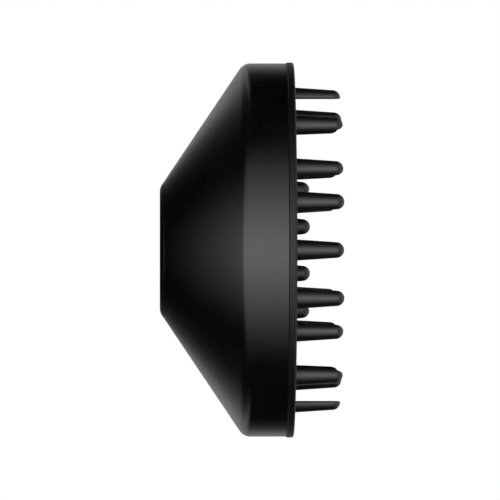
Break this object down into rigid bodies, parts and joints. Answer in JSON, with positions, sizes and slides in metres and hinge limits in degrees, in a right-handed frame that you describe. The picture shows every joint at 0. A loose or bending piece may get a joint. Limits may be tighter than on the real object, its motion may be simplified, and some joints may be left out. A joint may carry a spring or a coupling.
{
  "type": "hair dryer diffuser",
  "caption": "Round cone-shaped dryer diffuser with a short straight rim, a dished slotted face and D-section prongs in two lengths.",
  "frame": {"origin": "centre of the inlet's end face, on the axis of the cone", "axes": "+Z along the axis from the inlet to the prongs; one prong of the inner long ring is on -Y; +X completes a right-handed frame"},
  "size_m": [0.12, 0.12, 0.0577],
  "materials": {
    "shell_plastic": "satin black moulded plastic",
    "bezel_plastic": "satin black moulded plastic, a little darker than the shell",
    "face_plastic": "satin black moulded plastic",
    "prong_plastic": "satin black moulded plastic with a soft sheen",
    "collar_plastic": "fine matt black glass-filled plastic",
    "duct_plastic": "matt dark grey heat-resistant plastic",
    "frame_plastic": "matt dark grey plastic",
    "silicone": "matt dark grey silicone rubber",
    "mesh_steel": "woven stainless steel wire",
    "pole_steel": "stamped zinc-plated steel",
    "magnet": "nickel-plated sintered magnet",
    "screw_steel": "zinc-plated steel",
    "tag_resin": "clear brown resin over a printed coil"
  },
  "bodies": {
    "root": {"outer_shell": "shell_plastic", "inner_bowl": "duct_plastic", "front_bezel": "bezel_plastic", "face_plate": "face_plastic", "mesh_screen": "mesh_steel", "mesh_frame": "frame_plastic", "rim_gasket": "silicone", "flow_spreader": "duct_plastic", "spreader_screw": "screw_steel", "inlet_collar": "collar_plastic", "inlet_seal": "silicone", "inlet_gasket": "silicone", "pole_ring": "pole_steel", "collar_screws": "screw_steel", "id_tag": "tag_resin", "magnet_1": "magnet", "magnet_2": "magnet", "magnet_3": "magnet", "magnet_4": "magnet", "magnet_5": "magnet", "magnet_6": "magnet", "magnet_7": "magnet", "magnet_8": "magnet", "outer_prong_01": "prong_plastic", "outer_prong_02": "prong_plastic", "outer_prong_03": "prong_plastic", "outer_prong_04": "prong_plastic", "outer_prong_05": "prong_plastic", "outer_prong_06": "prong_plastic", "outer_prong_07": "prong_plastic", "outer_prong_08": "prong_plastic", "outer_prong_09": "prong_plastic", "outer_prong_10": "prong_plastic", "inner_prong_01": "prong_plastic", "inner_prong_02": "prong_plastic", "inner_prong_03": "prong_plastic", "inner_prong_04": "prong_plastic", "inner_prong_05": "prong_plastic", "inner_prong_06": "prong_plastic", "inner_prong_07": "prong_plastic", "inner_prong_08": "prong_plastic", "inner_prong_09": "prong_plastic", "inner_prong_10": "prong_plastic", "short_prong_01": "prong_plastic", "short_prong_02": "prong_plastic", "short_prong_03": "prong_plastic", "short_prong_04": "prong_plastic", "short_prong_05": "prong_plastic", "short_prong_06": "prong_plastic", "short_prong_07": "prong_plastic", "short_prong_08": "prong_plastic", "short_prong_09": "prong_plastic", "short_prong_10": "prong_plastic"}
  },
  "joints": []
}
